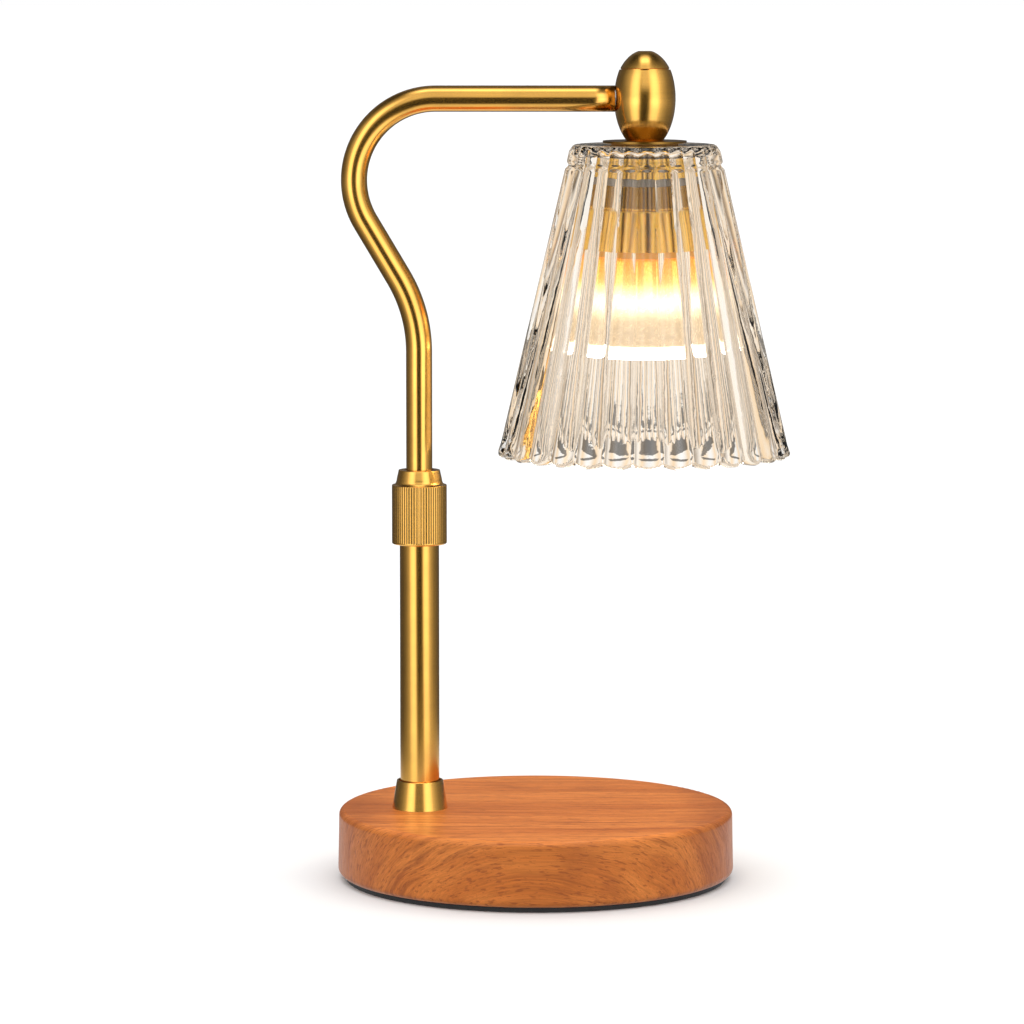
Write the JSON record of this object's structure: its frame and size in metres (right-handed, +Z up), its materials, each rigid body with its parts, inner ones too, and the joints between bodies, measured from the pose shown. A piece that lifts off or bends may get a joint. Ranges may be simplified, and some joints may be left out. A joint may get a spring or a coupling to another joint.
{
  "type": "candle warmer lamp",
  "caption": "Candle warmer lamp: weighted round wooden base, telescopic brass stem with knurled clamp, bent swing arm, egg finial and ribbed glass shade over a twist-base reflector bulb.",
  "frame": {"origin": "centre of the round base's underside, on the surface it stands on", "axes": "+Z up; the bent arm lies in the XZ plane, stem at -X and shade at +X; cord inlet at +Y"},
  "size_m": [0.1764, 0.1562, 0.3229],
  "materials": {
    "wood": "satin varnish",
    "ballast": "rough",
    "steel": "zinc plated",
    "pad_rubber": "matt foam",
    "grommet": "matt",
    "lead": "matt sheath",
    "brass": "fine brushed, lacquered",
    "knurled_brass": "straight knurl",
    "nylon": "natural nylon",
    "gasket": "soft silicone",
    "shade_glass": "clear ribbed",
    "plated_ring": "knurled",
    "ceramic": "unglazed",
    "contact_metal": "nickel plated",
    "bulb_glass": "mirrored glass",
    "bulb_lens": "clear",
    "capsule_glass": "clear",
    "filament": "glowing"
  },
  "bodies": {
    "base": {"base_wood": "wood", "ballast_plate": "ballast", "ballast_screws": "steel", "foot_pad": "pad_rubber", "cord_grommet": "grommet", "base_lead": "lead", "stem_flange": "brass", "lower_tube": "brass", "tube_plug": "steel", "stem_nipple": "steel", "stem_washer": "steel", "stem_nut": "steel", "lead_slack": "lead", "clamp_collet": "brass"},
    "clamp": {"clamp_nut": "knurled_brass"},
    "guide": {"guide_bush": "nylon"},
    "arm": {"guide_rings": "steel", "arm_tube": "brass", "arm_spigot": "steel", "arm_lead": "lead", "finial_body": "brass", "finial_cap": "brass", "grub_screw": "steel", "hanger_rod": "steel", "top_plate": "brass", "top_gasket": "gasket", "glass_shade": "shade_glass", "inner_gasket": "gasket", "neck_cap": "brass", "shade_ring_nut": "plated_ring", "holder_cup": "brass", "hanger_nut": "steel", "lamp_holder": "ceramic", "holder_contacts": "contact_metal", "holder_wires": "lead", "holder_screws": "steel"},
    "bulb": {"bulb_base": "ceramic", "bulb_pins": "contact_metal", "bulb_reflector": "bulb_glass", "bulb_lens": "bulb_lens", "bulb_capsule": "capsule_glass", "bulb_filament": "filament"}
  },
  "joints": [
    {"name": "clamp_turn", "type": "hinge", "parent": "base", "child": "clamp", "pos_m": [-0.0454, 0, 0.143], "axis": [0, 0, 1], "range_deg": [0, 270]},
    {"name": "height_slide", "type": "slide", "parent": "base", "child": "guide", "axis": [0, 0, 1], "range_m": [-0.04, 0], "deforming": ["lead_slack"]},
    {"name": "arm_swivel", "type": "hinge", "parent": "guide", "child": "arm", "pos_m": [-0.0454, 0, 0.115], "axis": [0, 0, 1], "range_deg": [-175, 175]},
    {"name": "bulb_twist", "type": "hinge", "parent": "arm", "child": "bulb", "pos_m": [0.042, 0, 0.25], "axis": [0, 0, 1], "range_deg": [0, 30]}
  ]
}
